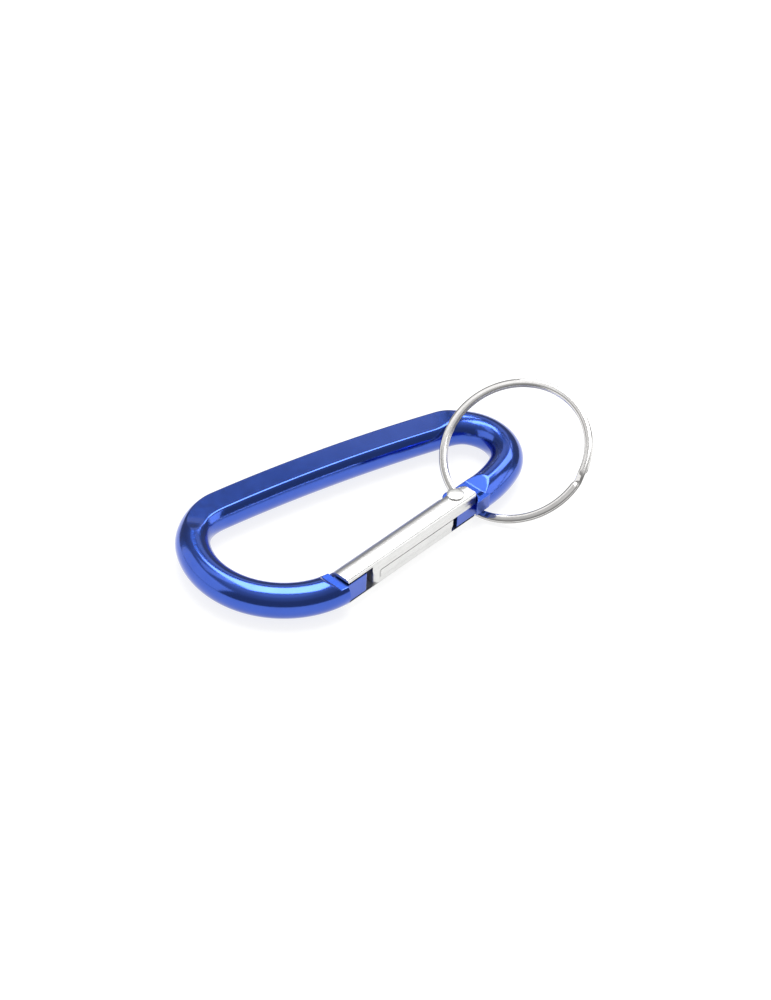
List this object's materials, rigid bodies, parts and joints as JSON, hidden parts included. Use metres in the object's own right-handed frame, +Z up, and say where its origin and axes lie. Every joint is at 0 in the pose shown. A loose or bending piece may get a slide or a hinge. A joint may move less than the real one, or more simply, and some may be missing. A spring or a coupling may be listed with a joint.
{
  "type": "carabiner keyring",
  "caption": "Small bent-bar carabiner with a sprung folded-sheet gate, linked to a split key ring: clips to a loop or strap and carries keys.",
  "frame": {"origin": "under the middle of the whole object, on the surface it lies on, with the ring leaning as it does on a table", "axes": "+X along the carabiner from its nose bow to its hinge bow and the ring, +Y from the gate to the spine, +Z up, square to the plane of the bent bar"},
  "size_m": [0.0654, 0.04, 0.0132],
  "materials": {
    "anodised_bar": "blue anodised, glossy",
    "gate_sheet": "bare, satin",
    "steel": "polished"
  },
  "bodies": {
    "frame": {"frame_bar": "anodised_bar"},
    "gate": {"gate_shell": "gate_sheet", "hinge_rivet": "steel", "gate_spring": "steel"},
    "plunger": {"spring_plunger": "steel"},
    "ring": {"split_ring": "steel"}
  },
  "joints": [
    {"name": "gate_hinge", "type": "hinge", "parent": "frame", "child": "gate", "pos_m": [0.00788, -0.00775, 0.0034], "axis": [0, 0, -1], "range_deg": [0, 40], "stiffness_Nm_per_rad": 0.012, "springref_deg": -45.84},
    {"name": "plunger_slide", "type": "slide", "parent": "gate", "child": "plunger", "axis": [-1, 0, 0], "range_m": [0, 0.00022], "deforming": ["gate_spring"]},
    {"name": "ring_swing", "type": "hinge", "parent": "frame", "child": "ring", "pos_m": [0.01908, -0.00895, 0.00284], "axis": [0.8294, -0.5496, -0.0999], "range_deg": [0, 100]}
  ],
  "couplings": [
    {"joint": "plunger_slide", "follows": "gate_hinge", "m_per_rad": 0.0003}
  ]
}
